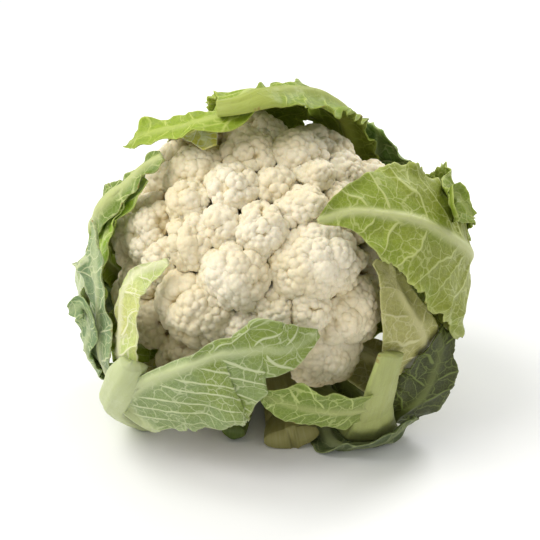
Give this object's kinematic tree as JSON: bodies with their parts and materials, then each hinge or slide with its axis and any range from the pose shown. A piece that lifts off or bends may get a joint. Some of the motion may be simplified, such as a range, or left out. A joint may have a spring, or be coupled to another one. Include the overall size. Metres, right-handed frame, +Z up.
{
  "type": "cauliflower",
  "caption": "Whole cauliflower head: a domed white curd of florets wrapped by torn green leaves, lying on them with its crown tilted forward.",
  "frame": {"origin": "middle of the footprint of the whole head, on the surface it rests on", "axes": "+Z up from the surface; the crown leans towards -Y, which is the front; +X is the right side seen from the front"},
  "size_m": [0.2154, 0.207, 0.191],
  "materials": {
    "curd": "matt, finely grained curd",
    "stalk": "smooth skin, matt cut end",
    "leaf_pale": "waxy, thick pale midrib and thin yellow-green blade",
    "leaf_bright": "satin young leaf with pale veins",
    "leaf_green": "waxy leaf with pale veins",
    "leaf_grey": "waxy grey-green underside with whitish veins",
    "leaf_dark": "dark green upper side, satin"
  },
  "bodies": {
    "root": {"stalk": "stalk", "floret_01": "curd", "floret_02": "curd", "floret_03": "curd", "floret_04": "curd", "floret_05": "curd", "floret_06": "curd", "floret_07": "curd", "floret_08": "curd", "floret_09": "curd", "floret_10": "curd", "floret_11": "curd", "floret_12": "curd", "floret_13": "curd", "floret_14": "curd", "floret_15": "curd", "floret_16": "curd", "floret_17": "curd", "floret_18": "curd", "floret_19": "curd", "floret_20": "curd", "floret_21": "curd", "floret_22": "curd", "floret_23": "curd", "floret_24": "curd", "floret_25": "curd", "floret_26": "curd", "floret_27": "curd", "floret_28": "curd", "floret_29": "curd", "floret_30": "curd", "floret_31": "curd", "floret_32": "curd", "floret_33": "curd", "floret_34": "curd", "floret_35": "curd", "floret_36": "curd", "leaf_top_inner": "leaf_pale", "leaf_left_small": "leaf_bright", "leaf_left_inner": "leaf_pale", "leaf_right_inner": "leaf_pale", "leaf_left_middle": "leaf_bright", "leaf_back_left": "leaf_green", "leaf_top_left": "leaf_bright", "leaf_back_top": "leaf_bright", "leaf_left_outer": "leaf_grey", "leaf_left_grey": "leaf_grey", "leaf_left_curl": "leaf_grey", "leaf_right_lower": "leaf_dark", "leaf_right_middle": "leaf_pale", "leaf_right_outer": "leaf_green", "leaf_right_curl": "leaf_bright", "petiole_stub_front": "leaf_pale", "petiole_stub_left": "leaf_dark", "leaf_front_right": "leaf_green", "leaf_bottom_front": "leaf_grey", "leaf_front_left": "leaf_green", "leaf_back_low_left": "leaf_grey", "leaf_back_low_right": "leaf_green", "leaf_back_middle": "leaf_grey"}
  },
  "joints": []
}
